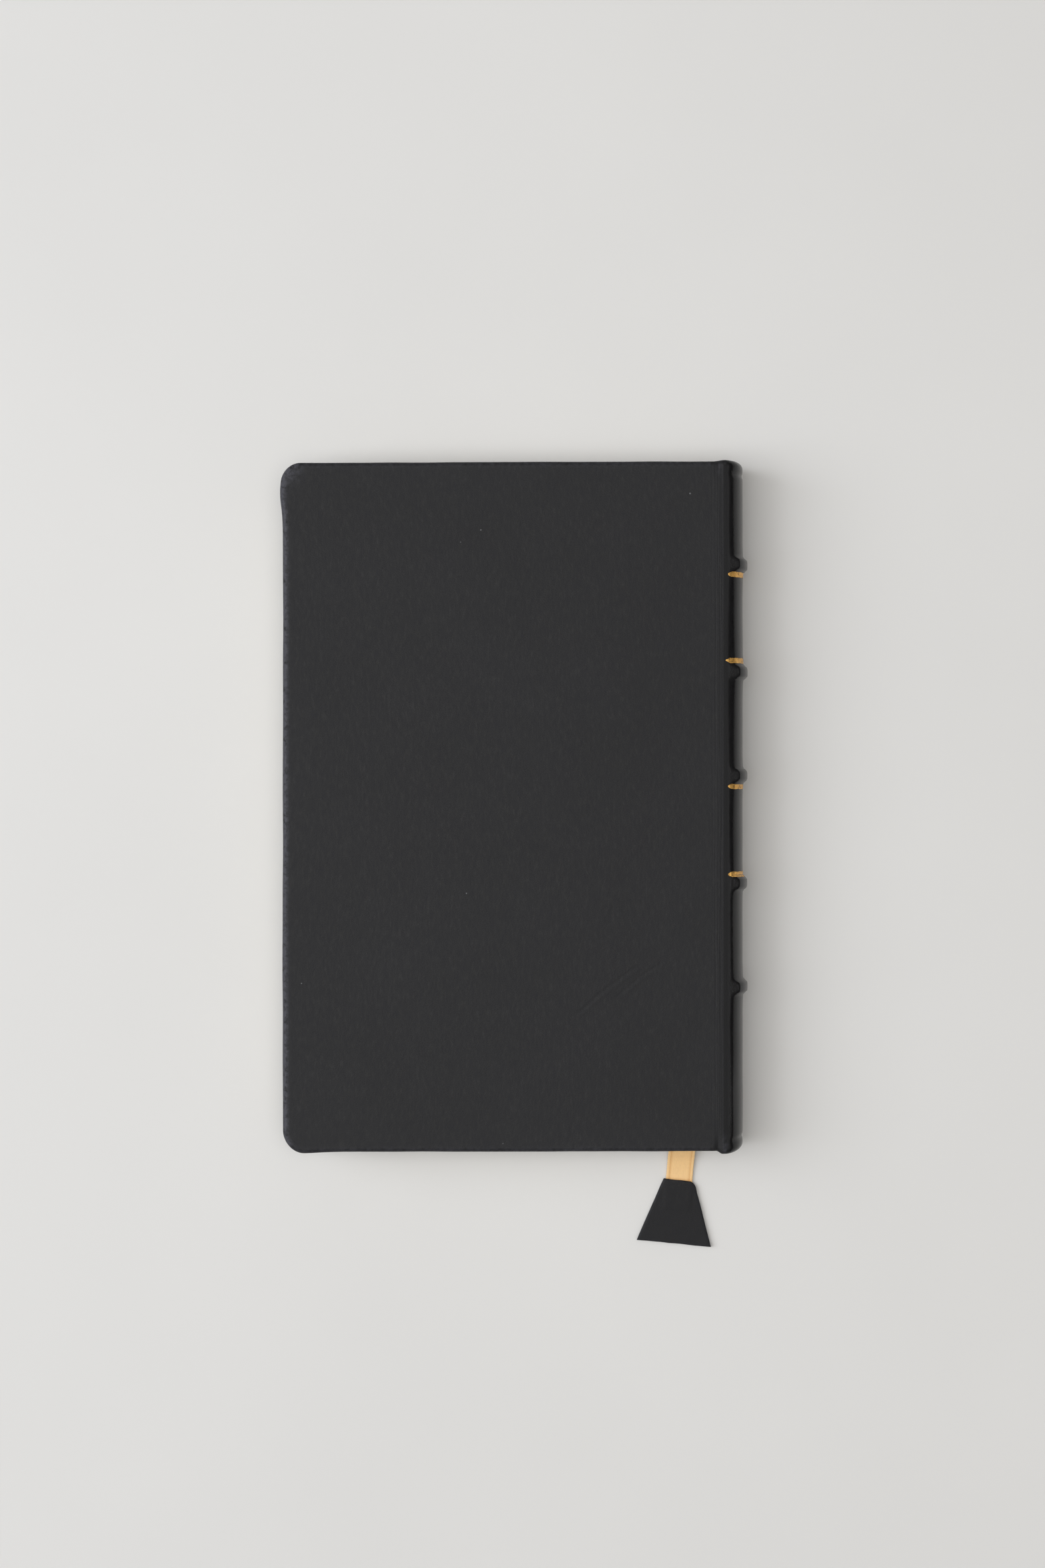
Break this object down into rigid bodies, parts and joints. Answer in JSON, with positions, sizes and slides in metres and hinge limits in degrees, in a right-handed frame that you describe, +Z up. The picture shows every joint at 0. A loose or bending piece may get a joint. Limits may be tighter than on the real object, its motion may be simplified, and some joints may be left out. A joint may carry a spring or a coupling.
{
  "type": "prayer book",
  "caption": "Closed leather-bound book with rounded spine, raised bands, gold lines and a satin ribbon marker ending in a leather tab.",
  "frame": {"origin": "bottom centre of the closed book without its ribbon marker, on the face it rests on", "axes": "+X towards the spine, +Y towards the head, +Z up through the upper cover"},
  "size_m": [0.137, 0.2342, 0.0225],
  "materials": {
    "black_leather": "fine-grained black leather, satin",
    "binders_board": "dense grey-brown board",
    "fill_card": "thin card",
    "endpaper": "plain cream paper",
    "text_paper": "cream paper",
    "cord": "twisted linen cord",
    "spine_lining": "open-weave cotton with glue",
    "gold_foil": "worn gold foil",
    "linen_thread": "waxed linen thread",
    "silk": "amber and black silk",
    "satin_ribbon": "amber double-faced satin"
  },
  "bodies": {
    "lower_cover": {"lower_leather": "black_leather", "lower_board": "binders_board", "lower_turn_in_fill": "fill_card", "lower_pastedown": "endpaper"},
    "book_block": {"back_endpaper_fold": "endpaper", "front_endpaper_fold": "endpaper", "section_1": "text_paper", "section_2": "text_paper", "section_3": "text_paper", "section_4": "text_paper", "section_5": "text_paper", "section_6": "text_paper", "section_7": "text_paper", "section_8": "text_paper", "section_9_fold": "text_paper", "section_10_fold": "text_paper", "section_11_fold": "text_paper", "section_12_fold": "text_paper", "spine_leather": "black_leather", "band_core_1": "cord", "band_core_2": "cord", "band_core_3": "cord", "band_core_4": "cord", "band_core_5": "cord", "headband_core": "cord", "tailband_core": "cord", "spine_lining_1": "spine_lining", "spine_lining_2": "spine_lining", "spine_lining_3": "spine_lining", "spine_lining_4": "spine_lining", "spine_lining_5": "spine_lining", "spine_lining_6": "spine_lining", "gold_line_1": "gold_foil", "gold_line_2": "gold_foil", "gold_line_3": "gold_foil", "gold_line_4": "gold_foil", "head_kettle_thread": "linen_thread", "tail_kettle_thread": "linen_thread", "headband_silk": "silk", "tailband_silk": "silk", "marker_ribbon": "satin_ribbon"},
    "upper_cover": {"upper_leather": "black_leather", "upper_board": "binders_board", "upper_turn_in_fill": "fill_card", "upper_pastedown": "endpaper"},
    "back_flyleaf": {"back_free_endpaper": "endpaper"},
    "front_flyleaf": {"front_free_endpaper": "endpaper"},
    "marker_tail": {"marker_ribbon_tail": "satin_ribbon", "marker_tab_front": "black_leather", "marker_tab_back": "black_leather"},
    "leaves_12": {"section_12_leaves": "text_paper"},
    "leaves_11": {"section_11_leaves": "text_paper"},
    "leaves_10": {"section_10_leaves": "text_paper"},
    "leaves_9": {"section_9_leaves": "text_paper"}
  },
  "joints": [
    {"name": "lower_cover_hinge", "type": "hinge", "parent": "lower_cover", "child": "book_block", "pos_m": [0.0604, 0, 0], "axis": [0, 1, 0], "range_deg": [0, 90]},
    {"name": "upper_cover_hinge", "type": "hinge", "parent": "book_block", "child": "upper_cover", "pos_m": [0.0604, 0, 0.0225], "axis": [0, 1, 0], "range_deg": [0, 175]},
    {"name": "back_flyleaf_hinge", "type": "hinge", "parent": "lower_cover", "child": "back_flyleaf", "pos_m": [0.0604, 0, 0], "axis": [0, 1, 0], "range_deg": [0, 46]},
    {"name": "front_flyleaf_hinge", "type": "hinge", "parent": "book_block", "child": "front_flyleaf", "pos_m": [0.0604, 0, 0.0225], "axis": [0, 1, 0], "range_deg": [0, 169]},
    {"name": "leaves_12_hinge", "type": "hinge", "parent": "book_block", "child": "leaves_12", "pos_m": [0.0604, 0, 0.0225], "axis": [0, 1, 0], "range_deg": [0, 158.5]},
    {"name": "leaves_11_hinge", "type": "hinge", "parent": "book_block", "child": "leaves_11", "pos_m": [0.0604, 0, 0.0225], "axis": [0, 1, 0], "range_deg": [0, 141]},
    {"name": "leaves_10_hinge", "type": "hinge", "parent": "book_block", "child": "leaves_10", "pos_m": [0.0604, 0, 0.0225], "axis": [0, 1, 0], "range_deg": [0, 120]},
    {"name": "leaves_9_hinge", "type": "hinge", "parent": "book_block", "child": "leaves_9", "pos_m": [0.0604, 0, 0.0225], "axis": [0, 1, 0], "range_deg": [0, 95.5]},
    {"name": "marker_lift", "type": "hinge", "parent": "book_block", "child": "marker_tail", "pos_m": [0.04966, -0.10161, 0.0038], "axis": [-0.9965, 0.0837, 0], "range_deg": [0, 90]}
  ],
  "couplings": [
    {"joint": "back_flyleaf_hinge", "follows": "lower_cover_hinge", "ratio": 0.5},
    {"joint": "front_flyleaf_hinge", "follows": "upper_cover_hinge", "ratio": 0.96},
    {"joint": "leaves_12_hinge", "follows": "upper_cover_hinge", "ratio": 0.9},
    {"joint": "leaves_11_hinge", "follows": "upper_cover_hinge", "ratio": 0.8},
    {"joint": "leaves_10_hinge", "follows": "upper_cover_hinge", "ratio": 0.68},
    {"joint": "leaves_9_hinge", "follows": "upper_cover_hinge", "ratio": 0.54}
  ]
}
